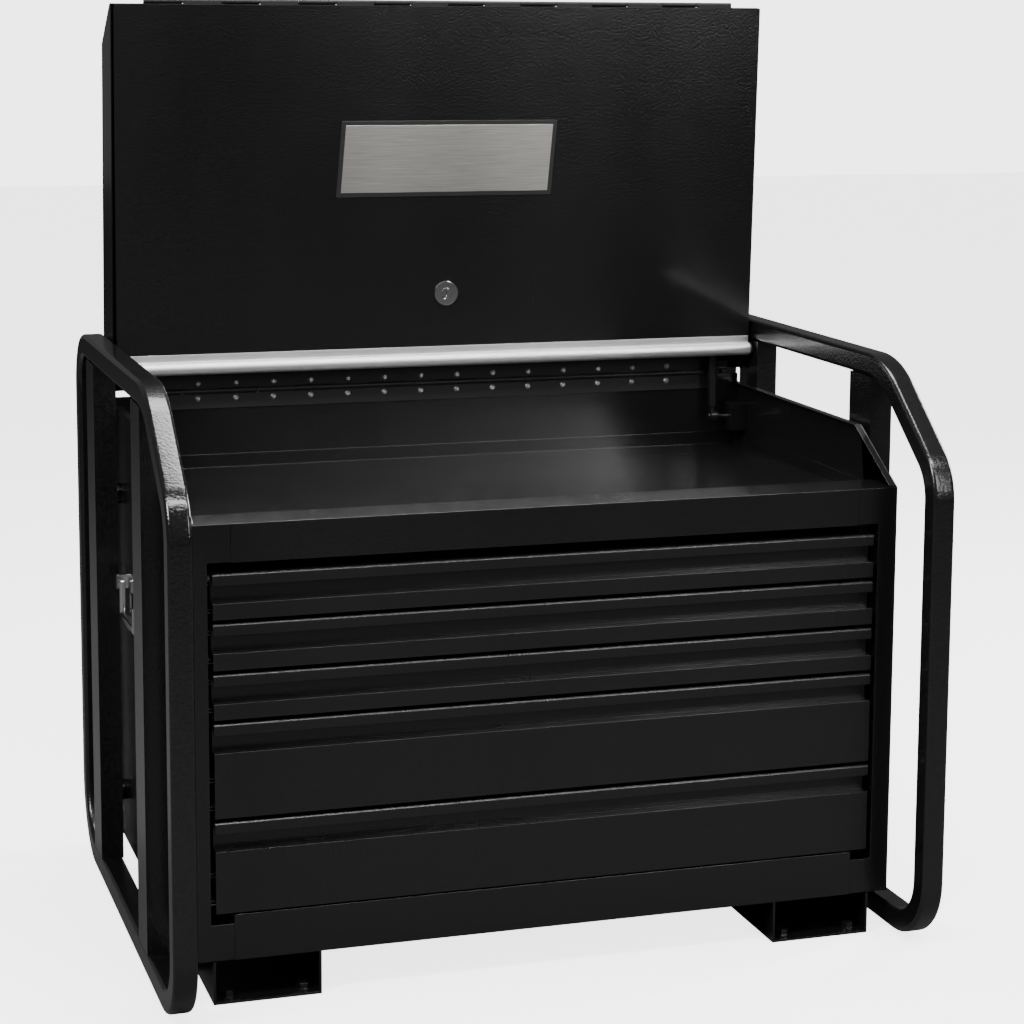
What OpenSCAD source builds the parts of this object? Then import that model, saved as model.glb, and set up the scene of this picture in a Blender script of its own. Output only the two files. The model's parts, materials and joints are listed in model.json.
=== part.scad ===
// Job-site tool chest on two channel feet: five drawers under an open well, a lid on a piano hinge,
// a drop-front cover on the lid's free edge, gas struts, side lift handles and tubular side guards.
// Lengths are in millimetres. Y is measured from the cabinet's front face inside each module,
// and the module placed() then moves it so that the origin is under the middle of the chest.

/* [Cabinet] */
// Width of the cabinet over its side panels
cab_w = 914; // [760:1:1100]
// Depth of the cabinet over its front frame and rear panel
cab_d = 530; // [480:1:640]
// Height of the side panels' flat top above the floor
side_top = 652; // [640:1:700]
// Height of the front ledge above the floor
ledge_top = 588; // [586:1:600]
// Thickness of the cabinet, lid and cover sheet
sheet = 1.5; // [1:0.1:2.5]
// Distance from the front face back to the start of the side panels' flat top
chamfer_run = 110; // [60:1:160]
// Depth of the front ledge from front to back
ledge_d = 61; // [40:1:90]
// Height of the well floor above the floor
well_z = 560; // [550:1:566]
// Height of the turned-up flange round the well floor
well_flange = 20; // [10:1:24]
// Width of the inward hem along the side panels' top edge
hem = 10; // [6:0.5:12]

/* [Front frame] */
// Width of each front post
post_w = 25; // [18:1:30]
// Width of the corner tabs at the posts' ends
tab_w = 53; // [40:1:80]
// Height of the corner tabs
tab_h = 46; // [30:1:48]
// Height of the top rail's face
top_rail_h = 47; // [35:1:50]
// Height of the bottom rail's face
bottom_rail_h = 57; // [40:1:60]
// Depth of the posts' return flange
post_return = 22; // [12:1:24]

/* [Drawers] */
// Heights of the drawer fronts' lowest edges, from the top drawer down
drawer_z = [472.9, 411.6, 351.5, 230.7, 113.0];
// Heights of the pulls' top edges, from the top drawer down
pull_z = [528.2, 467.9, 406.6, 346.5, 225.7];
// Height of a pull
pull_h = 14.2; // [10:0.1:18]
// Depth of a pull from front to back
pull_d = 17; // [12:0.5:20]
// Height of the finger recess under a pull
recess_h = 21.3; // [16:0.1:24]
// Gap between a drawer front and a post
drawer_gap = 6; // [3:0.5:8]
// Thickness of the drawer sheet
drawer_sheet = 1.2; // [0.8:0.1:2]
// Depth of a drawer box from front to back
box_d = 480; // [350:1:484]
// Width taken by the slide at each side of a drawer box
slide_w = 13; // [12:0.5:16]
// Height of a slide's outer member
slide_h = 40; // [30:1:42]
// Length of the slide members
slide_len = 466; // [340:1:470]
// Height of a drawer box above the front's lowest edge
box_lift = 6; // [4:0.5:12]

/* [Lid and cover] */
// Distance of the closed lid's front edge ahead of the front face
lid_front = 0.7; // [0.2:0.1:10]
// Depth of the lid pan above the hinge axis
lid_h = 78; // [60:1:100]
// Length of the sloping front of the lid, along the lid
lid_slope_run = 59; // [40:1:90]
// Height of the lid's front edge above the hinge axis
lid_lip_h = 7.5; // [6:0.1:20]
// Angle of the open lid from straight back
lid_open = 94.2; // [90:0.1:100]
// Gap between the cabinet's side panel and the lid's side flange
lid_gap = 2; // [1.5:0.1:4]
// Length of the cover from its hinge axis to its lower edge
cover_len = 473; // [440:1:480]
// Depth of the cover pan from its hinge axis to its outer face
cover_depth = 11.5; // [10:0.1:16]
// Angle of the hanging cover, counted like the lid's
cover_open = 272.5; // [271:0.1:273]
// Radius of the tube along the cover's lower edge
grip_r = 9; // [6:0.5:10]
// Height of the flat band above that tube
grip_band = 10; // [6:0.5:14]

/* [Hinges] */
// Height of the lid's hinge axis above the floor
hinge_z = 668; // [662:1:720]
// Outer radius of the hinge knuckles
knuckle_r = 3.2; // [2.8:0.1:4]
// Radius of the hinge pins
pin_r = 1.6; // [1.2:0.1:1.8]
// Length of the lid's hinge
hinge_len = 834; // [700:1:900]
// Number of knuckles in a hinge
knuckles = 16; // [8:2:24]
// Width of a hinge leaf from its axis
leaf_w = 24; // [18:1:28]
// Number of rivets in each leaf
rivets = 14; // [8:1:16]
// Distance between rivets
rivet_pitch = 52.8; // [40:0.1:56]
// Radius of a rivet's shank
rivet_r = 2.4; // [1.6:0.1:3]

/* [Lock and badge] */
// Distance of the lock below the cover's hinge axis
lock_at = 398.6; // [300:1:440]
// Radius of the lock's flange
lock_r = 17; // [13:0.5:20]
// Radius of the lock's barrel
barrel_r = 11; // [9:0.5:12]
// Radius of the lock's turning plug
plug_r = 7; // [5:0.5:8]
// Width of the badge plate
badge_w = 338; // [200:1:420]
// Height of the badge plate
badge_h = 104; // [60:1:160]
// Distance of the badge's middle below the cover's hinge axis
badge_at = 211; // [120:1:280]

/* [Gas struts] */
// Distance of the struts' lower pivot ahead of the lid's hinge axis
strut_back = 20.3; // [15:0.1:30]
// Height of the struts' lower pivot
strut_z = 605; // [590:1:620]
// Distance of the struts' upper pivot from the hinge axis, along the lid
strut_a = 230; // [200:1:260]
// Height of the struts' upper pivot above the hinge axis
strut_n = 20; // [10:1:30]
// Radius of a strut's cylinder
strut_r = 7.5; // [7:0.5:9]
// Radius of a strut's rod
rod_r = 4; // [3:0.5:5]
// Distance of the struts' centre lines from the side panels
strut_in = 49; // [40:1:60]
// Length of a strut's cylinder
tube_len = 150; // [140:1:155]
// Radius of a strut's pivot studs
stud_r = 4; // [3:0.5:5]

/* [Side guards] */
// Width of the square guard tube
guard_t = 30; // [24:1:40]
// Wall of the guard tube
guard_wall = 2.5; // [1.5:0.1:4]
// Gap between the cabinet and the guards
guard_gap = 6.5; // [5:0.5:12]
// Reach of the guards in front of the cabinet
guard_front = 89; // [60:1:120]
// Reach of the guards behind the cabinet
guard_rear = 120; // [100:1:150]
// Height of the guards
guard_top = 746; // [740:1:800]
// Height of the guards above the floor
guard_z = 3; // [3:1:20]
// Width of the guards' upright tubes from front to back
upright_w = 65; // [40:1:80]
// Distance of the front upright from the front face
upright_y = 98; // [80:1:130]

/* [Feet and side handles] */
// Height of the channel feet
foot_h = 54; // [53:1:80]
// Width of a channel foot
foot_w = 133; // [100:1:160]
// Distance of a foot's outer wall from the side panel
foot_in = 27; // [10:1:60]
// Thickness of a channel foot
foot_t = 3; // [2:0.5:5]
// Distance between the two bolt holes across a foot
foot_bolt_x = 92; // [70:1:110]
// Distance of the bolt holes from the foot's end
foot_bolt_y = 16; // [14:1:40]
// Radius of the bolt holes in the feet
foot_hole_r = 5.5; // [4:0.5:7]
// Distance of the side handles' middle from the front face
handle_y = 380; // [300:1:390]
// Height of the side handles' middle
handle_z = 409; // [300:1:480]
// Width of a side handle's plate
plate_w = 150; // [120:1:160]
// Height of a side handle's plate
plate_h = 75; // [60:1:90]
// Radius of a side handle's bail
bail_r = 4; // [3:0.5:5]

/* [Hidden] */
$fn = 48;

half_w = cab_w/2;
inner_w = half_w - sheet;
frame_w = half_w - post_w;
rear_in = cab_d - sheet;
// Running clearance of a pin or shaft in its hole, on the radius
run_fit = 0.05;
// Clearance of a rivet or bolt in its hole, on the radius
bolt_fit = 0.1;
// End gap between two neighbouring knuckles
knuckle_gap = 0.6;
// Gap between a leaf and the other leaf's knuckles
leaf_gap = 0.6;
rivet_at = 10.5;
hinge_y = rear_in - knuckle_r;
rear_top = hinge_z - knuckle_r - leaf_gap;
lid_len = hinge_y + lid_front;

guard_x = half_w + guard_gap;
// Reach of the rear upright behind the cabinet
upright_over = 10;
rear_upright_y = cab_d - upright_w + upright_over;
bolt_heights = [120, 535];
bolt_r = 4;

// Drawer widths, from the posts inward
front_half = frame_w - drawer_gap;
slide_half = frame_w - 1.5;
box_half = slide_half - slide_w;
front_y = pull_d - drawer_sheet;
slide_y = post_return + 4;
// Flange positions of the two slide members, measured from the slide's middle height
outer_flange = slide_h/2;
inner_flange = outer_flange - sheet - 1;
standard_w = 40;

// Lid and cover
lid_half = half_w + lid_gap + sheet;
lid_rear = knuckle_r + 1;
cover_half = lid_half - sheet - 1.5;
cover_axis = lid_len + knuckle_r + 0.8;
lip_z = knuckle_r;
slope_angle = atan2(lid_h - lid_lip_h, lid_slope_run);
cover_y = hinge_y + cover_axis*cos(lid_open);
cover_z = hinge_z + cover_axis*sin(lid_open);
// Depth of the grip tube's middle, measured from the cover's hinge axis towards its back
grip_mid = -grip_r - 4;

// Struts at rest
strut_x = half_w - strut_in;
strut_y = hinge_y - strut_back;
strut_top_y = hinge_y + strut_a*cos(lid_open) + strut_n*sin(lid_open);
strut_top_z = hinge_z + strut_a*sin(lid_open) - strut_n*cos(lid_open);
strut_len = norm([strut_top_y - strut_y, strut_top_z - strut_z]);
strut_angle = atan2(strut_top_z - strut_z, strut_top_y - strut_y);
eye_w = 10;
eye_r = 9;
neck = 15;

black = [0.05, 0.05, 0.055];
satin = [0.11, 0.11, 0.115];
zinc = [0.72, 0.72, 0.72];

module placed() {
    translate([0, -(cab_d + guard_rear - guard_front)/2, 0]) children();
}

// Extrudes a (Y, Z) outline along X
module along_x(x0, x1) {
    translate([x0, 0, 0]) rotate([90, 0, 90]) linear_extrude(x1 - x0) children();
}

// Extrudes an (X, Z) outline along Y
module along_y(y0, y1) {
    translate([0, y1, 0]) rotate([90, 0, 0]) linear_extrude(y1 - y0) children();
}

module both_sides() {
    children();
    mirror([1, 0, 0]) children();
}

// A box given by its two corners
module block(low, high) {
    translate(low) cube(high - low);
}

// The lid's own frame: Y runs along the lid from its hinge, Z towards its inside
module in_lid() {
    translate([0, hinge_y, hinge_z]) rotate([lid_open, 0, 0]) children();
}

// The cover's own frame: Y runs down the cover from its hinge, Z towards its back
module in_cover() {
    translate([0, cover_y, cover_z]) rotate([cover_open, 0, 0]) children();
}

// Points of an arc that rounds the corner b between a and c
function corner(a, b, c, r, steps) =
    let (u = (a - b)/norm(a - b), v = (c - b)/norm(c - b), half = acos(u*v)/2,
         mid = (u + v)/norm(u + v), centre = b + mid*r/sin(half),
         from = b + u*r/tan(half) - centre, to = b + v*r/tan(half) - centre,
         a0 = atan2(from.y, from.x), turn = atan2(to.y, to.x) - a0,
         sweep = turn > 180 ? turn - 360 : turn < -180 ? turn + 360 : turn)
    [for (i = [0:steps]) centre + r*[cos(a0 + sweep*i/steps), sin(a0 + sweep*i/steps)]];

// A closed outline with every corner rounded by its own radius
function rounded(points, radii, steps) =
    let (n = len(points))
    [for (i = [0:n - 1]) each corner(points[(i + n - 1)%n], points[i], points[(i + 1)%n], radii[i], steps)];

// The corners of a convex outline moved inward by t
function inset(points, t) =
    let (n = len(points))
    [for (i = [0:n - 1])
        let (u = (points[(i + n - 1)%n] - points[i])/norm(points[(i + n - 1)%n] - points[i]),
             v = (points[(i + 1)%n] - points[i])/norm(points[(i + 1)%n] - points[i]),
             half = acos(u*v)/2)
        points[i] + (u + v)/norm(u + v)*t/sin(half)];

// ---- Cabinet ----

side_outline =
    [[0, foot_h], [cab_d, foot_h], [cab_d, side_top], [chamfer_run, side_top], [0, ledge_top]];

module side_panel() {
    rise = side_top - ledge_top;
    drop = sheet/cos(atan2(rise, chamfer_run));
    hem_y = drop*chamfer_run/rise;
    difference() {
        union() {
            along_x(inner_w, half_w) polygon(side_outline);
            along_x(half_w - hem, half_w)
                polygon([[hem_y, ledge_top + drop], [chamfer_run, side_top], [rear_in, side_top],
                    [rear_in, side_top - sheet], [chamfer_run, side_top - drop], [hem_y, ledge_top]]);
        }
        guard_bolt_places() cylinder(h = 60, r = bolt_r + bolt_fit, center = true);
    }
}
module guard_bolt_places() {
    for (y = [upright_y + upright_w/2, rear_upright_y + upright_w/2], z = bolt_heights)
        translate([half_w, y, z]) rotate([0, 90, 0]) children();
}

module side_panel_left() { color(black) placed() mirror([1, 0, 0]) side_panel(); }
module side_panel_right() { color(black) placed() side_panel(); }

module rear_panel() {
    color(black) placed() difference() {
        block([-inner_w, rear_in, foot_h + sheet], [inner_w, cab_d, rear_top]);
        rivet_row(hinge_z - rivet_at, rear_in);
    }
}

module rivet_row(z, y) {
    for (i = [0:rivets - 1])
        translate([(i - (rivets - 1)/2)*rivet_pitch, y, z]) rotate([90, 0, 0])
            cylinder(h = 12, r = rivet_r + bolt_fit, center = true);
}

module bottom_panel() {
    color(black) placed() block([-inner_w, sheet, foot_h], [inner_w, cab_d, foot_h + sheet]);
}

module well_floor() {
    color(black) placed() difference() {
        block([-inner_w, ledge_d, well_z], [inner_w, rear_in, well_z + well_flange]);
        block([sheet - inner_w, ledge_d - 1, well_z + sheet], [inner_w - sheet, rear_in - sheet, side_top]);
    }
}

module top_rail() {
    low = ledge_top - top_rail_h;
    color(black) placed() along_x(-(half_w - tab_w), half_w - tab_w)
        polygon([[0, low], [0, ledge_top], [ledge_d, ledge_top], [ledge_d, well_z + sheet],
            [ledge_d - sheet, well_z + sheet], [ledge_d - sheet, ledge_top - sheet],
            [sheet, ledge_top - sheet], [sheet, low]]);
}

module bottom_rail() {
    color(black) placed()
        block([tab_w - half_w, 0, foot_h], [half_w - tab_w, sheet, foot_h + bottom_rail_h]);
}

module front_posts() {
    color(black) placed() both_sides() {
        block([frame_w, 0, foot_h + sheet], [inner_w, sheet, ledge_top - sheet]);
        block([frame_w, 0, foot_h + sheet], [frame_w + sheet, post_return, ledge_top - sheet]);
        block([half_w - tab_w, 0, foot_h + sheet], [inner_w, sheet, foot_h + tab_h]);
        block([half_w - tab_w, 0, ledge_top - tab_h], [inner_w, sheet, ledge_top - sheet]);
        block([half_w - tab_w, 0, ledge_top - sheet], [inner_w, ledge_d, ledge_top]);
    }
}

// ---- Slides and drawers ----

function slide_mid(i) = drawer_z[i] + box_lift + outer_flange - 3;

// A channel with its web on one side, for one slide member
module slide_channel(web_x, lip_x, half_h, y0, y1) {
    way = web_x > lip_x ? -1 : 1;
    low = min(web_x, lip_x);
    high = max(web_x, lip_x);
    difference() {
        block([low, y0, -half_h], [high, y1, half_h]);
        translate([way*sheet, -1, 0]) block([low, y0, sheet - half_h], [high, y1 + 2, half_h - sheet]);
    }
}

module cabinet_slides() {
    color(zinc) placed() both_sides() {
        for (i = [0:4]) translate([0, 0, slide_mid(i)])
            slide_channel(slide_half, box_half + 1.2, outer_flange, slide_y, slide_y + slide_len);
        for (y = [slide_y + 10, slide_y + slide_len - standard_w])
            difference() {
                block([slide_half, y, foot_h + sheet], [inner_w, y + standard_w, well_z - 8]);
                block([slide_half + sheet, y + sheet, foot_h], [half_w, y + standard_w - sheet, well_z]);
            }
    }
}

module drawer_slides(i) {
    color(zinc) placed() both_sides() translate([0, 0, slide_mid(i)])
        slide_channel(box_half, slide_half - 2.5, inner_flange - sheet, slide_y, slide_y + slide_len - 12);
}

module drawer_box(i) {
    top = pull_z[i] - 6;
    low = drawer_z[i] + box_lift;
    color(satin) placed() difference() {
        block([-box_half, pull_d, low], [box_half, pull_d + box_d, top]);
        block([drawer_sheet - box_half, pull_d + drawer_sheet, low + drawer_sheet],
            [box_half - drawer_sheet, pull_d + box_d - drawer_sheet, top + 1]);
    }
}

// The front is one sheet: a flat face, a step back under the pull and an upright behind the pull
module drawer_front(i) {
    low = drawer_z[i];
    face = pull_z[i] - pull_h - recess_h;
    t = drawer_sheet;
    color(black) placed() along_x(-front_half, front_half)
        polygon([[pull_d, low], [0, low], [0, face], [pull_d - t, face], [pull_d - t, pull_z[i]],
            [pull_d, pull_z[i]], [pull_d, face - t], [t, face - t], [t, low + t], [pull_d, low + t]]);
}

// A hooked pull with a hollow back
module drawer_pull(i) {
    wall = 2;
    lip = 6;
    back = pull_d - drawer_sheet;
    top = pull_z[i];
    color(satin) placed() along_x(-front_half, front_half)
        polygon([[back, top], [2, top], [0, top - 2], [0, top - pull_h], [lip, top - pull_h],
            [lip, top - pull_h + wall], [wall, top - pull_h + wall], [wall, top - wall - 1],
            [wall + 1, top - wall], [back, top - wall]]);
}

module drawer_1_box() { drawer_box(0); }
module drawer_2_box() { drawer_box(1); }
module drawer_3_box() { drawer_box(2); }
module drawer_4_box() { drawer_box(3); }
module drawer_5_box() { drawer_box(4); }
module drawer_1_front() { drawer_front(0); }
module drawer_2_front() { drawer_front(1); }
module drawer_3_front() { drawer_front(2); }
module drawer_4_front() { drawer_front(3); }
module drawer_5_front() { drawer_front(4); }
module drawer_1_pull() { drawer_pull(0); }
module drawer_2_pull() { drawer_pull(1); }
module drawer_3_pull() { drawer_pull(2); }
module drawer_4_pull() { drawer_pull(3); }
module drawer_5_pull() { drawer_pull(4); }
module drawer_1_slides() { drawer_slides(0); }
module drawer_2_slides() { drawer_slides(1); }
module drawer_3_slides() { drawer_slides(2); }
module drawer_4_slides() { drawer_slides(3); }
module drawer_5_slides() { drawer_slides(4); }

// ---- Hinges ----

knuckle_pitch = hinge_len/knuckles;

// One leaf of a piano hinge: its plate lies tangent to the knuckles, on their +Z side
module leaf(first) {
    root = knuckle_r + leaf_gap;
    difference() {
        union() {
            block([-hinge_len/2, root, knuckle_r - sheet], [hinge_len/2, leaf_w, knuckle_r]);
            for (i = [first:2:knuckles - 1]) {
                x0 = -hinge_len/2 + i*knuckle_pitch + knuckle_gap/2;
                x1 = x0 + knuckle_pitch - knuckle_gap;
                translate([x0, 0, 0]) rotate([0, 90, 0]) cylinder(h = x1 - x0, r = knuckle_r);
                block([x0, 0, knuckle_r - sheet], [x1, root + 1, knuckle_r]);
            }
        }
        rotate([0, 90, 0]) cylinder(h = hinge_len + 2, r = pin_r + run_fit, center = true);
        for (i = [0:rivets - 1])
            translate([(i - (rivets - 1)/2)*rivet_pitch, rivet_at, 0])
                cylinder(h = 20, r = rivet_r + bolt_fit, center = true);
    }
}

module leaf_rivets() {
    grip = 2*sheet + 0.1;
    for (i = [0:rivets - 1])
        translate([(i - (rivets - 1)/2)*rivet_pitch, rivet_at, knuckle_r - sheet]) {
            cylinder(h = grip, r = rivet_r);
            translate([0, 0, -1.8]) cylinder(h = 1.8, r1 = 2.6, r2 = 4.2);
        }
}

module hinge_axis_rod() {
    rotate([0, 90, 0]) cylinder(h = hinge_len, r = pin_r, center = true);
}

module hinge_cabinet_leaf() {
    color(black) placed() translate([0, hinge_y, hinge_z]) rotate([270, 0, 0]) leaf(0);
}
module hinge_cabinet_rivets() {
    color(zinc) placed() translate([0, hinge_y, hinge_z]) rotate([270, 0, 0]) leaf_rivets();
}
module hinge_lid_leaf() { color(black) placed() in_lid() mirror([0, 0, 1]) leaf(1); }
module hinge_lid_rivets() { color(zinc) placed() in_lid() mirror([0, 0, 1]) leaf_rivets(); }
module hinge_pin() { color(zinc) placed() translate([0, hinge_y, hinge_z]) hinge_axis_rod(); }

module at_cover_axis() {
    in_lid() translate([0, cover_axis, 0]) rotate([180, 0, 0]) children();
}
module cover_hinge_lid_leaf() { color(black) placed() at_cover_axis() leaf(0); }
module cover_hinge_cover_leaf() { color(black) placed() in_cover() mirror([0, 0, 1]) leaf(1); }
module cover_hinge_pin() { color(zinc) placed() translate([0, cover_y, cover_z]) hinge_axis_rod(); }

// ---- Lid ----

module lid_pan() {
    top = -lid_h;
    slope_a = lid_len - lid_slope_run;
    in_t = sheet/sin(slope_angle);
    bend = sheet*tan(slope_angle/2);
    edge = -(lid_lip_h - in_t + sheet/tan(slope_angle) + bend);
    lip = leaf_w + 2;
    color(black) placed() in_lid() difference() {
        union() {
            along_x(-lid_half, lid_half)
                polygon([[lid_rear, -knuckle_r], [lid_rear, top], [slope_a, top], [lid_len, -lid_lip_h],
                    [lid_len, -knuckle_r], [lid_len - sheet, -knuckle_r], [lid_len - sheet, edge],
                    [slope_a - bend, top + sheet], [lid_rear + sheet, top + sheet],
                    [lid_rear + sheet, -knuckle_r]]);
            both_sides() along_x(lid_half - sheet, lid_half)
                polygon([[lid_rear, knuckle_r], [lid_rear, top], [slope_a, top], [lid_len, -lid_lip_h],
                    [lid_len, 0]]);
            block([-lid_half, lid_rear, -knuckle_r], [lid_half, lid_rear + sheet, knuckle_r + sheet]);
            block([-hinge_len/2, lid_rear, -knuckle_r - sheet], [hinge_len/2, lip, -knuckle_r]);
            block([-hinge_len/2, cover_axis - lip, -knuckle_r - sheet], [hinge_len/2, lid_len, -knuckle_r]);
        }
        block([-half_w, lid_rear - 1, -knuckle_r], [half_w, lid_len, knuckle_r + 5]);
        for (i = [0:rivets - 1], y = [rivet_at, cover_axis - rivet_at])
            translate([(i - (rivets - 1)/2)*rivet_pitch, y, 0])
                cylinder(h = 20, r = rivet_r + bolt_fit, center = true);
    }
}

module lid_stiffener() {
    deep = 16;
    wide = 70;
    color(black) placed() in_lid() translate([0, strut_a, 0]) along_x(-half_w + 70, half_w - 70)
        translate([0, -lid_h + sheet]) difference() {
            translate([-wide/2, 0]) square([wide, deep]);
            translate([sheet - wide/2, -1]) square([wide - 2*sheet, deep - sheet + 1]);
        }
}

// ---- Cover ----

module cover_panel() {
    back = -knuckle_r;
    color(black) placed() in_cover() difference() {
        block([-cover_half, knuckle_r + 1, -cover_depth], [cover_half, cover_len, back]);
        block([sheet - cover_half, knuckle_r + 1 + sheet, sheet - cover_depth],
            [cover_half - sheet, cover_len - sheet, back - sheet]);
        block([20 - cover_half, leaf_w + 2, -cover_depth + sheet],
            [cover_half - 20, cover_len - 20, 1]);
        translate([0, lock_at, 0]) cylinder(h = 60, r = barrel_r + bolt_fit, center = true);
        for (i = [0:rivets - 1])
            translate([(i - (rivets - 1)/2)*rivet_pitch, rivet_at, back])
                cylinder(h = 4, r = rivet_r + bolt_fit, center = true);
    }
}

// The grip is one extrusion: a flat band with a tube under it
module cover_grip() {
    color([0.8, 0.8, 0.8]) placed() in_cover() difference() {
        union() {
            block([-cover_half, cover_len, -cover_depth], [cover_half, cover_len + grip_band + 3, -knuckle_r]);
            translate([0, cover_len + grip_band + grip_r, grip_mid]) rotate([0, 90, 0])
                cylinder(h = 2*cover_half, r = grip_r, center = true);
        }
        translate([0, cover_len + grip_band + grip_r, grip_mid]) rotate([0, 90, 0])
            cylinder(h = 2*cover_half + 2, r = grip_r - 2, center = true);
    }
}

module grip_end_caps() {
    color(satin) placed() in_cover() both_sides()
        translate([cover_half, cover_len + grip_band + grip_r, grip_mid]) rotate([0, 90, 0]) {
            cylinder(h = 2.5, r = grip_r - 0.4);
            translate([0, 0, -12]) cylinder(h = 12, r = grip_r - 2);
        }
}

module badge_plate() {
    lean = badge_h*tan(12)/2;
    color(zinc) placed() in_cover() translate([0, badge_at, -cover_depth - 1.5])
        linear_extrude(1.5) polygon([[-badge_w/2 + lean, badge_h/2], [badge_w/2 + lean - 30, badge_h/2],
            [badge_w/2 - lean, -badge_h/2], [-badge_w/2 - lean + 30, -badge_h/2]]);
}

module lock_body() {
    color(zinc) placed() in_cover() translate([0, lock_at, -cover_depth]) difference() {
        union() {
            translate([0, 0, -3]) cylinder(h = 3, r = lock_r);
            cylinder(h = 18, r = barrel_r);
        }
        translate([0, 0, -5]) cylinder(h = 30, r = plug_r + run_fit);
    }
}

module lock_plug() {
    color(zinc) placed() in_cover() translate([0, lock_at, -cover_depth - 3.5]) difference() {
        cylinder(h = 22, r = plug_r);
        translate([-0.6, -4, -1]) cube([1.2, 8, 5]);
    }
}

module lock_cam() {
    color(zinc) placed() in_cover() translate([0, lock_at, -cover_depth + 18.5]) hull() {
        cylinder(h = 3, r = 9);
        translate([-6, 30, 0]) cube([12, 6, 3]);
    }
}

// ---- Gas struts ----

module in_strut() {
    translate([strut_x, strut_y, strut_z]) rotate([strut_angle, 0, 0]) children();
}

module strut_cylinder() {
    in_strut() difference() {
        union() {
            translate([-eye_w/2, 0, 0]) rotate([0, 90, 0]) cylinder(h = eye_w, r = eye_r);
            rotate([-90, 0, 0]) cylinder(h = neck + 1, r = 5);
            translate([0, neck, 0]) rotate([-90, 0, 0]) cylinder(h = tube_len, r = strut_r);
        }
        rotate([0, 90, 0]) cylinder(h = 30, r = stud_r + run_fit, center = true);
        translate([0, neck + 5, 0]) rotate([-90, 0, 0]) cylinder(h = tube_len - 12, r = strut_r - 1.5);
        translate([0, neck + 5, 0]) rotate([-90, 0, 0]) cylinder(h = tube_len, r = rod_r + run_fit);
    }
}

module strut_rod() {
    in_strut() {
        translate([-eye_w/2, strut_len, 0]) rotate([0, 90, 0]) cylinder(h = eye_w, r = eye_r);
        translate([0, neck + tube_len - 25, 0]) rotate([-90, 0, 0])
            cylinder(h = strut_len - neck - tube_len + 25, r = rod_r);
        translate([0, neck + tube_len - 29, 0]) rotate([-90, 0, 0])
            cylinder(h = 6, r = strut_r - 1.5 - run_fit);
    }
}

module strut_left_cylinder() { color(black) placed() mirror([1, 0, 0]) strut_cylinder(); }
module strut_right_cylinder() { color(black) placed() strut_cylinder(); }
module strut_left_rod() { color(zinc) placed() mirror([1, 0, 0]) strut_rod(); }
module strut_right_rod() { color(zinc) placed() strut_rod(); }

module strut_brackets() {
    color(black) placed() both_sides() {
        block([strut_x + 22, strut_y - 14, strut_z - 20], [inner_w, strut_y + 14, strut_z + 20]);
        translate([strut_x - eye_w/2 - 1, strut_y, strut_z]) rotate([0, 90, 0])
            cylinder(h = 28, r = stud_r);
        translate([strut_x - eye_w/2 - 3, strut_y, strut_z]) rotate([0, 90, 0]) cylinder(h = 2.5, r = 6);
    }
}

module strut_lid_studs() {
    color(black) placed() in_lid() both_sides() {
        translate([strut_x + eye_w/2 + 0.6, strut_a, -strut_n]) rotate([0, 90, 0])
            cylinder(h = 16, r = stud_r);
        block([strut_x + 20, strut_a - 14, sheet - lid_h], [strut_x + 23, strut_a + 14, 8 - strut_n]);
    }
}

// ---- Guards ----

rear_reach = cab_d + guard_rear;
// The slanting front of a guard: its drop from the top, and its run from front to back
slant_h = 125;
slant_run = 160;
guard_corners = [[-guard_front, guard_z], [rear_reach, guard_z], [rear_reach, guard_top],
    [slant_run - guard_front, guard_top], [-guard_front, guard_top - slant_h]];
// Outer bend radii of those corners, in order
guard_radii = [85, 105, 78, 136, 84];

module guard_section(t) {
    polygon(rounded(inset(guard_corners, t), [for (r = guard_radii) r - t], 12));
}

module guard_loop() {
    difference() {
        along_x(guard_x, guard_x + guard_t) difference() {
            guard_section(0);
            guard_section(guard_t);
        }
        along_x(guard_x + guard_wall, guard_x + guard_t - guard_wall) difference() {
            guard_section(guard_wall);
            guard_section(guard_t - guard_wall);
        }
    }
}

module guard_left() { color(black) placed() mirror([1, 0, 0]) guard_loop(); }
module guard_right() { color(black) placed() guard_loop(); }

// The uprights end on the inside of the loop
module guard_uprights() {
    color(black) placed() both_sides() difference() {
        intersection() {
            for (y = [upright_y, rear_upright_y])
                difference() {
                    block([guard_x, y, 0], [guard_x + guard_t, y + upright_w, guard_top]);
                    block([guard_x + guard_wall, y + guard_wall, -1],
                        [guard_x + guard_t - guard_wall, y + upright_w - guard_wall, guard_top + 1]);
                }
            along_x(guard_x, guard_x + guard_t) guard_section(guard_t);
        }
        guard_bolt_places() cylinder(h = 40, r = bolt_r + bolt_fit, center = true);
    }
}

// ---- Feet, side handles and fasteners ----

foot_out = half_w - foot_in;
foot_mid = foot_out - foot_w/2;

module foot_holes(y) {
    for (x = [-1, 1])
        translate([foot_mid + x*foot_bolt_x/2, y, -1]) cylinder(h = foot_t + 2, r = foot_hole_r);
}

module channel_feet() {
    color(black) placed() both_sides() difference() {
        block([foot_out - foot_w, 0, 0], [foot_out, cab_d, foot_h]);
        block([foot_out - foot_w + foot_t, -1, foot_t], [foot_out - foot_t, cab_d + 1, foot_h + 1]);
        foot_holes(foot_bolt_y);
        foot_holes(cab_d - foot_bolt_y);
    }
}

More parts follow.
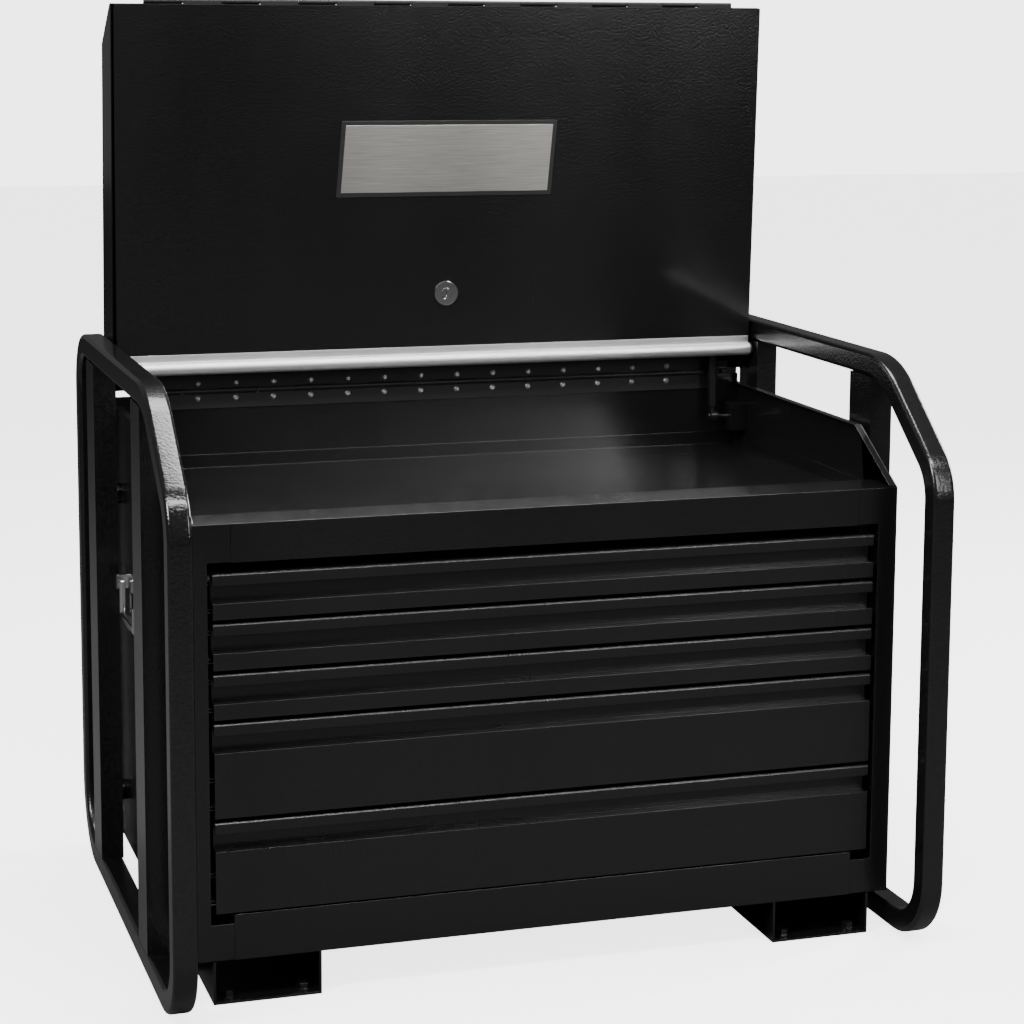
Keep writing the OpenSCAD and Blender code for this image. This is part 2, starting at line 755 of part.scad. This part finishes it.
module chest_bolts() {
    head_r = 8;
    color(zinc) placed() both_sides() {
        for (x = [-1, 1])
            translate([foot_mid + x*foot_bolt_x/2, foot_bolt_y, 0]) {
                cylinder(h = foot_t, r = foot_hole_r - bolt_fit);
                translate([0, 0, foot_t]) cylinder(h = 2, r = 11);
                translate([0, 0, foot_t + 2]) cylinder(h = 7, r = head_r, $fn = 6);
            }
        guard_bolt_places() {
            translate([0, 0, -sheet - 6]) cylinder(h = 6, r = head_r, $fn = 6);
            translate([0, 0, -sheet]) cylinder(h = guard_gap + sheet + 10, r = bolt_r);
            difference() {
                cylinder(h = guard_gap, r = 14);
                translate([0, 0, -1]) cylinder(h = guard_gap + 2, r = bolt_r);
            }
        }
    }
}

bail_x = half_w + 9;
bail_z = handle_z + 20;
bail_half = plate_w/2 - 24;
bail_drop = 44;

module side_handle_plates() {
    color(zinc) placed() both_sides() {
        translate([half_w, handle_y, handle_z]) rotate([90, 0, 90]) linear_extrude(2)
            square([plate_w, plate_h], center = true);
        for (y = [-1, 1])
            difference() {
                translate([half_w + 2, handle_y + y*(bail_half + 12) - 6, bail_z - 9]) cube([14, 12, 18]);
                translate([bail_x, handle_y, bail_z]) rotate([90, 0, 0])
                    cylinder(h = plate_w, r = bail_r + run_fit, center = true);
            }
    }
}

module bail() {
    reach = 2*bail_half + 34;
    translate([bail_x, handle_y, bail_z]) {
        rotate([90, 0, 0]) {
            translate([0, 0, bail_half - 1]) cylinder(h = reach/2 - bail_half, r = bail_r);
            translate([0, 0, -reach/2 + 1]) cylinder(h = reach/2 - bail_half, r = bail_r);
        }
        for (y = [-1, 1]) translate([0, y*bail_half, -bail_drop]) cylinder(h = bail_drop, r = bail_r);
        for (y = [-1, 1]) translate([0, y*bail_half, 0]) sphere(r = bail_r);
        for (y = [-1, 1]) translate([0, y*bail_half, -bail_drop]) sphere(r = bail_r);
        translate([0, 0, -bail_drop]) rotate([90, 0, 0])
            cylinder(h = 2*bail_half, r = bail_r, center = true);
        translate([0, 0, -bail_drop]) rotate([90, 0, 0])
            cylinder(h = 2*bail_half - 16, r = bail_r + 2, center = true);
    }
}

module side_handle_left_bail() { color(zinc) placed() mirror([1, 0, 0]) bail(); }
module side_handle_right_bail() { color(zinc) placed() bail(); }

side_panel_left();
side_panel_right();
rear_panel();
bottom_panel();
well_floor();
top_rail();
bottom_rail();
front_posts();
cabinet_slides();
drawer_1_box();
drawer_1_front();
drawer_1_pull();
drawer_1_slides();
drawer_2_box();
drawer_2_front();
drawer_2_pull();
drawer_2_slides();
drawer_3_box();
drawer_3_front();
drawer_3_pull();
drawer_3_slides();
drawer_4_box();
drawer_4_front();
drawer_4_pull();
drawer_4_slides();
drawer_5_box();
drawer_5_front();
drawer_5_pull();
drawer_5_slides();
lid_pan();
lid_stiffener();
hinge_cabinet_leaf();
hinge_lid_leaf();
hinge_pin();
hinge_cabinet_rivets();
hinge_lid_rivets();
cover_panel();
cover_hinge_lid_leaf();
cover_hinge_cover_leaf();
cover_hinge_pin();
cover_grip();
grip_end_caps();
badge_plate();
lock_body();
lock_plug();
lock_cam();
strut_brackets();
strut_lid_studs();
strut_left_cylinder();
strut_right_cylinder();
strut_left_rod();
strut_right_rod();
guard_left();
guard_right();
guard_uprights();
side_handle_plates();
side_handle_left_bail();
side_handle_right_bail();
channel_feet();
chest_bolts();
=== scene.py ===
"""Looks of a black steel tool chest: glossy powder coat, bright grip, zinc fittings, soft light."""
import json
from math import cos, radians, sin

import bmesh
import bpy
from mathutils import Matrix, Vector

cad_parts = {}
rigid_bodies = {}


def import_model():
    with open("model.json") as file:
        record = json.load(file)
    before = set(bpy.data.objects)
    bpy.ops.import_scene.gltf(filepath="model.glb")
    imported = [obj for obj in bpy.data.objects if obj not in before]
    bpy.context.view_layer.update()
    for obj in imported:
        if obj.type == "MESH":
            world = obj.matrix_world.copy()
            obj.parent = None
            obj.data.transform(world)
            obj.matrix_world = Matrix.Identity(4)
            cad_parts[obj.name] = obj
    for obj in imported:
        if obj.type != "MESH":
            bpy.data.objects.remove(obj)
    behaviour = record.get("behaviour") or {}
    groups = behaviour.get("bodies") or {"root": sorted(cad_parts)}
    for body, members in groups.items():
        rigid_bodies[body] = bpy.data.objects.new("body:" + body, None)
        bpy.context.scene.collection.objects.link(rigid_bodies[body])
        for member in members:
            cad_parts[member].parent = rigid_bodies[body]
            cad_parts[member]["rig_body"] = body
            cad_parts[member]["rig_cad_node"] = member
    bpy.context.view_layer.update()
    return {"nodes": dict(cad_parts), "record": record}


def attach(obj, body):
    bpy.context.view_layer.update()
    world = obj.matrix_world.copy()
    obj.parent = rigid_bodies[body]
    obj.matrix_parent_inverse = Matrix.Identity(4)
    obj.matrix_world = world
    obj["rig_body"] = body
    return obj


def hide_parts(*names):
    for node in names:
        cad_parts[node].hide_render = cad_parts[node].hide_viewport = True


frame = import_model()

record = frame["record"]
node_slot = {row["node"]: row["material_slot"] for row in record["subparts"]}
node_body = {n: b for b, members in record["behaviour"]["bodies"].items() for n in members}
DRAWERS = range(1, 6)


# ---- Camera, lights and stage ----

def add_camera():
    bpy.ops.object.camera_add(location=(-0.96668, -3.14497, 1.17072),
                              rotation=(radians(90 - 8.268), 0, radians(-17.586)))
    camera = bpy.context.object
    camera.rotation_euler.rotate_axis("Z", radians(0.313))
    camera.data.sensor_width = 36
    camera.data.lens = 88.70
    camera.data.shift_y = -0.12
    bpy.context.scene.camera = camera


def add_panel_light(name, place, aim, size, watts):
    """A rectangular soft light of size (width, height), in metres."""
    bpy.ops.object.light_add(type="AREA", location=place)
    light = bpy.context.object
    light.name = name
    light.data.shape = "RECTANGLE"
    light.data.size, light.data.size_y = size
    light.data.energy = watts
    light.rotation_euler = (Vector(aim) - Vector(place)).to_track_quat("-Z", "Y").to_euler()


def add_lights():
    middle = (0, 0, 0.6)
    add_panel_light("key_softbox", (-2.6, -1.6, 2.6), middle, (1.4, 1.0), 90)
    add_panel_light("front_strip", (1.6, -3.4, 2.2), middle, (0.35, 1.8), 40)
    add_panel_light("overhead_strip", (-0.2, -1.5, 3.0), middle, (3.6, 0.3), 90)
    add_panel_light("top_softbox", (0.2, 0.3, 3.2), middle, (1.6, 1.0), 70)
    add_panel_light("right_edge_light", (3.0, 0.6, 1.8), middle, (0.4, 1.6), 80)


def add_world():
    """A bright backdrop for the camera, which lights the chest only dimly."""
    world = bpy.data.worlds.new("studio")
    bpy.context.scene.world = world
    world.use_nodes = True
    nodes, links = world.node_tree.nodes, world.node_tree.links
    nodes.clear()
    seen = nodes.new("ShaderNodeBackground")
    seen.inputs["Color"].default_value = (1, 1, 1, 1)
    seen.inputs["Strength"].default_value = 4.0
    fill = nodes.new("ShaderNodeBackground")
    fill.inputs["Color"].default_value = (1, 1, 1, 1)
    fill.inputs["Strength"].default_value = 0.10
    path = nodes.new("ShaderNodeLightPath")
    mix = nodes.new("ShaderNodeMixShader")
    out = nodes.new("ShaderNodeOutputWorld")
    links.new(path.outputs["Is Camera Ray"], mix.inputs["Fac"])
    links.new(fill.outputs[0], mix.inputs[1])
    links.new(seen.outputs[0], mix.inputs[2])
    links.new(mix.outputs[0], out.inputs["Surface"])


def add_floor():
    """A pale floor for the camera, which the chest's coating reflects as dark."""
    bpy.ops.mesh.primitive_plane_add(size=30, location=(0, 0, -0.0005))
    floor = bpy.context.object
    floor.name = "studio_floor"
    paper = bpy.data.materials.new("floor_paper")
    paper.use_nodes = True
    nodes, links = paper.node_tree.nodes, paper.node_tree.links
    lit = nodes["Principled BSDF"]
    lit.inputs["Base Color"].default_value = (0.93, 0.93, 0.93, 1)
    lit.inputs["Roughness"].default_value = 0.85
    lit.inputs["Emission Color"].default_value = (1, 1, 1, 1)
    lit.inputs["Emission Strength"].default_value = 3.2
    dim = nodes.new("ShaderNodeBsdfDiffuse")
    dim.inputs["Color"].default_value = (0.12, 0.12, 0.12, 1)
    path = nodes.new("ShaderNodeLightPath")
    mix = nodes.new("ShaderNodeMixShader")
    links.new(path.outputs["Is Camera Ray"], mix.inputs["Fac"])
    links.new(dim.outputs[0], mix.inputs[1])
    links.new(lit.outputs[0], mix.inputs[2])
    links.new(mix.outputs[0], nodes["Material Output"].inputs["Surface"])
    floor.data.materials.append(paper)


# ---- Shared shader groups ----

def new_group(name, inputs, outputs):
    group = bpy.data.node_groups.new(name, "ShaderNodeTree")
    for label, kind, value in inputs:
        socket = group.interface.new_socket(label, in_out="INPUT", socket_type=kind)
        socket.default_value = value
    for label, kind in outputs:
        group.interface.new_socket(label, in_out="OUTPUT", socket_type=kind)
    start = group.nodes.new("NodeGroupInput")
    end = group.nodes.new("NodeGroupOutput")
    place = group.nodes.new("ShaderNodeTexCoord")
    return group, start, end, place


def noise(group, place, scale, detail=3.0, stretch=None):
    """A noise node on Object coordinates; stretch scales the pattern along each axis."""
    node = group.nodes.new("ShaderNodeTexNoise")
    node.inputs["Detail"].default_value = detail
    node.inputs["Scale"].default_value = scale
    if stretch:
        mapping = group.nodes.new("ShaderNodeMapping")
        mapping.inputs["Scale"].default_value = stretch
        group.links.new(place.outputs["Object"], mapping.inputs["Vector"])
        group.links.new(mapping.outputs["Vector"], node.inputs["Vector"])
    else:
        group.links.new(place.outputs["Object"], node.inputs["Vector"])
    return node


def value_range(group, source, low, high):
    """Maps the usual range of a noise value onto low to high."""
    node = group.nodes.new("ShaderNodeMapRange")
    node.inputs["From Min"].default_value = 0.3
    node.inputs["From Max"].default_value = 0.7
    node.inputs["To Min"].default_value = low
    node.inputs["To Max"].default_value = high
    group.links.new(source, node.inputs["Value"])
    return node.outputs["Result"]


def multiply(group, a, b):
    node = group.nodes.new("ShaderNodeMath")
    node.operation = "MULTIPLY"
    group.links.new(a, node.inputs[0])
    group.links.new(b, node.inputs[1])
    return node.outputs[0]


def build_orange_peel():
    """The fine pebbling of a powder coat, with a slow waviness under it."""
    group, start, end, place = new_group(
        "orange_peel", [("Pebble Scale", "NodeSocketFloat", 420.0), ("Depth", "NodeSocketFloat", 1.0)],
        [("Height", "NodeSocketFloat"), ("Fleck", "NodeSocketFloat")])
    fine = noise(group, place, 420.0, 2.0)
    group.links.new(start.outputs["Pebble Scale"], fine.inputs["Scale"])
    slow = noise(group, place, 24.0, 1.0)
    mix = group.nodes.new("ShaderNodeMath")
    mix.operation = "MULTIPLY_ADD"
    mix.inputs[1].default_value = 0.6
    group.links.new(slow.outputs["Fac"], mix.inputs[0])
    group.links.new(fine.outputs["Fac"], mix.inputs[2])
    group.links.new(multiply(group, mix.outputs[0], start.outputs["Depth"]), end.inputs["Height"])
    group.links.new(value_range(group, fine.outputs["Fac"], 0.0, 1.0), end.inputs["Fleck"])
    return group


def build_handling_marks():
    """Faint smears and dust: a broad mask for roughness."""
    group, start, end, place = new_group(
        "handling_marks", [("Amount", "NodeSocketFloat", 1.0)], [("Mask", "NodeSocketFloat")])
    smear = noise(group, place, 5.0, 5.0, (1.0, 1.0, 0.35))
    group.links.new(multiply(group, value_range(group, smear.outputs["Fac"], 0.0, 1.0),
                             start.outputs["Amount"]), end.inputs["Mask"])
    return group


def build_drawn_grain():
    """Long fine lines along X, as on extruded, drawn or brushed metal."""
    group, start, end, place = new_group(
        "drawn_grain", [("Amount", "NodeSocketFloat", 1.0)],
        [("Height", "NodeSocketFloat"), ("Mask", "NodeSocketFloat")])
    lines = noise(group, place, 60.0, 4.0, (0.35, 30.0, 30.0))
    group.links.new(multiply(group, lines.outputs["Fac"], start.outputs["Amount"]), end.inputs["Height"])
    group.links.new(value_range(group, lines.outputs["Fac"], 0.0, 1.0), end.inputs["Mask"])
    return group


peel_group = build_orange_peel()
marks_group = build_handling_marks()
grain_group = build_drawn_grain()


# ---- Materials ----

def place_group(tree, group, **values):
    node = tree.nodes.new("ShaderNodeGroup")
    node.node_tree = group
    for label, value in values.items():
        node.inputs[label.replace("_", " ")].default_value = value
    return node


def mixed_colour(tree, mask, low, high):
    node = tree.nodes.new("ShaderNodeMix")
    node.data_type = "RGBA"
    tree.links.new(mask, node.inputs["Factor"])
    node.inputs["A"].default_value = (*low, 1)
    node.inputs["B"].default_value = (*high, 1)
    return node.outputs["Result"]


def mixed_value(tree, mask, low, high):
    node = tree.nodes.new("ShaderNodeMapRange")
    node.inputs["To Min"].default_value = low
    node.inputs["To Max"].default_value = high
    tree.links.new(mask, node.inputs["Value"])
    return node.outputs["Result"]


def add_bump(tree, height, shader, distance, strength=1.0):
    bump = tree.nodes.new("ShaderNodeBump")
    bump.inputs["Distance"].default_value = distance
    bump.inputs["Strength"].default_value = strength
    tree.links.new(height, bump.inputs["Height"])
    tree.links.new(bump.outputs["Normal"], shader.inputs["Normal"])


def new_material(name):
    material = bpy.data.materials.new(name)
    material.use_nodes = True
    return material, material.node_tree, material.node_tree.nodes["Principled BSDF"]


def powder_coat(name, dark, worn, gloss, matt, pebble, depth, coat):
    """Powder coat: dark to worn is its colour range, gloss to matt its roughness range."""
    material, tree, shader = new_material(name)
    peel = place_group(tree, peel_group, Pebble_Scale=pebble)
    marks = place_group(tree, marks_group)
    tree.links.new(mixed_colour(tree, peel.outputs["Fleck"], dark, worn), shader.inputs["Base Color"])
    tree.links.new(mixed_value(tree, marks.outputs["Mask"], gloss, matt), shader.inputs["Roughness"])
    shader.inputs["Coat Weight"].default_value = coat
    shader.inputs["Coat Roughness"].default_value = 0.12
    add_bump(tree, peel.outputs["Height"], shader, depth)
    return material


def bright_metal(name, low, high, gloss, matt, depth):
    """Bare or plated metal with drawn grain."""
    material, tree, shader = new_material(name)
    grain = place_group(tree, grain_group)
    marks = place_group(tree, marks_group)
    shader.inputs["Metallic"].default_value = 1.0
    tree.links.new(mixed_colour(tree, grain.outputs["Mask"], low, high), shader.inputs["Base Color"])
    tree.links.new(mixed_value(tree, marks.outputs["Mask"], gloss, matt), shader.inputs["Roughness"])
    add_bump(tree, grain.outputs["Height"], shader, depth)
    return material


def moulded_plastic(name):
    material, tree, shader = new_material(name)
    peel = place_group(tree, peel_group, Pebble_Scale=900.0)
    marks = place_group(tree, marks_group)
    tree.links.new(mixed_colour(tree, peel.outputs["Fleck"], (0.018,) * 3, (0.03,) * 3),
                   shader.inputs["Base Color"])
    tree.links.new(mixed_value(tree, marks.outputs["Mask"], 0.45, 0.6), shader.inputs["Roughness"])
    add_bump(tree, peel.outputs["Height"], shader, 0.0001)
    return material


finish = {
    "black_sheet": powder_coat("black_sheet_coat", (0.003,) * 3, (0.008,) * 3,
                               gloss=0.18, matt=0.28, pebble=420.0, depth=0.0003, coat=0.35),
    "black_front": powder_coat("black_front_coat", (0.004,) * 3, (0.009,) * 3,
                               gloss=0.24, matt=0.34, pebble=520.0, depth=0.0003, coat=0.3),
    "black_tube": powder_coat("black_tube_coat", (0.003,) * 3, (0.009,) * 3,
                              gloss=0.16, matt=0.26, pebble=300.0, depth=0.0005, coat=0.45),
    "zinc_steel": bright_metal("zinc_plate", (0.5, 0.5, 0.49), (0.68, 0.68, 0.68),
                               gloss=0.32, matt=0.46, depth=0.00003),
    "grip_aluminium": bright_metal("grip_extrusion", (0.82, 0.82, 0.83), (0.95, 0.95, 0.95),
                                   gloss=0.42, matt=0.52, depth=0.00003),
    "badge_steel": bright_metal("badge_face", (0.5, 0.48, 0.45), (0.78, 0.75, 0.71),
                                gloss=0.3, matt=0.42, depth=0.00004),
    "chrome_part": bright_metal("chrome_plate", (0.7, 0.7, 0.71), (0.85, 0.85, 0.86),
                                gloss=0.08, matt=0.16, depth=0.00001),
    "black_plastic": moulded_plastic("end_cap_plastic"),
}
badge_edge = powder_coat("badge_border_coat", (0.01,) * 3, (0.02,) * 3,
                         gloss=0.35, matt=0.45, pebble=600.0, depth=0.00008, coat=0.1)
hinge_black = powder_coat("hinge_black_coat", (0.004,) * 3, (0.01,) * 3,
                          gloss=0.5, matt=0.62, pebble=600.0, depth=0.0001, coat=0.0)


# ---- Pieces ----

def start_edit(piece):
    bpy.ops.object.select_all(action="DESELECT")
    piece.select_set(True)
    bpy.context.view_layer.objects.active = piece
    bpy.ops.object.mode_set(mode="EDIT")
    bpy.ops.mesh.select_all(action="SELECT")


def end_edit():
    bpy.ops.object.mode_set(mode="OBJECT")


def finish_piece(piece, name, body, material, stands_for=()):
    """Names a finished piece, applies its place, and rides it on its body."""
    piece.name = name
    bpy.ops.object.select_all(action="DESELECT")
    piece.select_set(True)
    bpy.context.view_layer.objects.active = piece
    bpy.ops.object.transform_apply(location=True, rotation=True, scale=True)
    piece.data.materials.clear()
    piece.data.materials.append(material)
    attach(piece, body)
    if stands_for:
        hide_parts(*stands_for)
    return piece


def flatten_normals(piece):
    """Lets the large flat faces set the normals, so that only the rounded edges shade smoothly."""
    weighted = piece.modifiers.new("flat_faces", "WEIGHTED_NORMAL")
    weighted.mode = "FACE_AREA"
    weighted.weight = 100
    weighted.keep_sharp = True
    bpy.ops.object.modifier_apply(modifier="flat_faces")


def free_copy(node):
    """A copy of a CAD node with its doubles merged and its flats joined."""
    source = frame["nodes"][node]
    piece = source.copy()
    piece.data = source.data.copy()
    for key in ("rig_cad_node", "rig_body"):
        if key in piece:
            del piece[key]
    piece.parent = None
    bpy.context.scene.collection.objects.link(piece)
    start_edit(piece)
    bpy.ops.mesh.remove_doubles(threshold=0.00001)
    bpy.ops.mesh.dissolve_limited(angle_limit=radians(0.5))
    end_edit()
    return piece


def rounded_copy(node, radius, segments, corner=30, material=None):
    """A copy of a CAD node with its edges rounded."""
    piece = free_copy(node)
    round_edges = piece.modifiers.new("rounded_edges", "BEVEL")
    round_edges.width = radius
    round_edges.segments = segments
    round_edges.limit_method = "ANGLE"
    round_edges.angle_limit = radians(corner)
    round_edges.use_clamp_overlap = True
    bpy.ops.object.modifier_apply(modifier="rounded_edges")
    bpy.ops.object.shade_smooth_by_angle(angle=radians(corner))
    flatten_normals(piece)
    return finish_piece(piece, node + "_finished", node_body[node], material or finish[node_slot[node]],
                        [node])


def build_badge():
    """A plain badge: a dark plate with a brushed panel raised inside its border."""
    border, rise, softened = 0.006, 0.0007, 0.0003
    panel = free_copy("badge_plate")
    start_edit(panel)
    bpy.ops.mesh.select_mode(type="FACE")
    bpy.ops.mesh.select_all(action="DESELECT")
    faces = bmesh.from_edit_mesh(panel.data).faces
    max(faces, key=lambda face: -face.normal.y * face.calc_area()).select_set(True)
    bpy.ops.mesh.select_all(action="INVERT")
    bpy.ops.mesh.delete(type="FACE")
    bpy.ops.mesh.select_all(action="SELECT")
    bpy.ops.mesh.inset(thickness=border)
    bpy.ops.mesh.select_all(action="INVERT")
    bpy.ops.mesh.delete(type="FACE")
    bpy.ops.mesh.select_mode(type="VERT")
    end_edit()
    raised = panel.modifiers.new("raised", "SOLIDIFY")
    raised.thickness = rise
    raised.offset = 1
    bpy.ops.object.modifier_apply(modifier="raised")
    soft = panel.modifiers.new("soft_edges", "BEVEL")
    soft.width = softened
    soft.segments = 2
    bpy.ops.object.modifier_apply(modifier="soft_edges")
    bpy.ops.object.shade_smooth_by_angle(angle=radians(30))
    flatten_normals(panel)
    finish_piece(panel, "badge_panel", node_body["badge_plate"], finish["badge_steel"])
    rounded_copy("badge_plate", 0.0005, 2, material=badge_edge)


def dress_cad_nodes(skip):
    """Every CAD node that stays gets its finish, with a duller black on the hinge leaves."""
    for name, node in frame["nodes"].items():
        if name in skip:
            continue
        node.data.materials.clear()
        node.data.materials.append(hinge_black if "hinge" in name and "leaf" in name
                                   else finish[node_slot[name]])


def build_lid_seal():
    """A rubber strip along the lid's rear edge, with a round bead that closes the gap above the hinge."""
    hinge = next(joint for joint in record["behaviour"]["joints"] if joint["name"] == "lid_hinge")
    axis = Vector(hinge["pos_m"])
    open_angle = radians(94.2)
    along = Vector((0, cos(open_angle), sin(open_angle)))
    outward = Vector((0, sin(open_angle), -cos(open_angle)))
    length, wide, thick, bead = 0.88, 0.012, 0.0012, 0.0014
    start, skin = 0.0028, 0.00475
    middle = axis + along * (start + wide/2) + outward * (skin + thick/2)
    bpy.ops.object.select_all(action="DESELECT")
    bpy.ops.mesh.primitive_cube_add(size=1, location=middle, rotation=(open_angle, 0, 0))
    strip = bpy.context.object
    strip.scale = (length, wide, thick)
    bpy.ops.object.transform_apply(location=False, rotation=False, scale=True)
    round_off = strip.modifiers.new("soft_edges", "BEVEL")
    round_off.width = 0.0004
    round_off.segments = 3
    bpy.ops.object.modifier_apply(modifier="soft_edges")
    bpy.ops.mesh.primitive_cylinder_add(vertices=20, radius=bead, depth=length,
                                        rotation=(0, radians(90), 0),
                                        location=axis + along * start + outward * (skin + bead))
    strip.select_set(True)
    bpy.context.view_layer.objects.active = strip
    bpy.ops.object.join()
    bpy.ops.object.shade_smooth_by_angle(angle=radians(40))
    finish_piece(strip, "lid_rear_seal", node_body["lid_pan"], finish["black_plastic"])


# Edge radius of each folded, turned or cast node, in metres
EDGE_RADII = {
    "side_panel_left": 0.0006, "side_panel_right": 0.0006, "rear_panel": 0.0006, "bottom_panel": 0.0005,
    "well_floor": 0.0006, "top_rail": 0.0007, "bottom_rail": 0.0005, "front_posts": 0.0005,
    "lid_pan": 0.0007, "lid_stiffener": 0.0006, "cover_panel": 0.0007, "channel_feet": 0.0009,
    "cover_grip": 0.0006, "side_handle_plates": 0.0008, "strut_brackets": 0.001, "chest_bolts": 0.0007,
    "lock_body": 0.0008, "lock_plug": 0.0004, "lock_cam": 0.0004,
}
GUARD_NODES = ("guard_left", "guard_right", "guard_uprights")


def build_rounded_nodes():
    """Builds every finished copy and added piece, and returns the nodes that they stand for."""
    drawer_radii = {"front": (0.0006, 3), "pull": (0.0011, 3), "box": (0.0005, 2)}
    for node, radius in EDGE_RADII.items():
        rounded_copy(node, radius, 2)
    for i in DRAWERS:
        for part, (radius, segments) in drawer_radii.items():
            rounded_copy(f"drawer_{i}_{part}", radius, segments)
    for node in GUARD_NODES:
        rounded_copy(node, 0.0055 if node != "guard_uprights" else 0.003, 4)
    build_badge()
    build_lid_seal()
    drawer_nodes = [f"drawer_{i}_{part}" for i in DRAWERS for part in drawer_radii]
    return ["badge_plate", *EDGE_RADII, *GUARD_NODES, *drawer_nodes]


add_camera()
add_lights()
add_world()
add_floor()
rounded = build_rounded_nodes()
dress_cad_nodes(rounded)
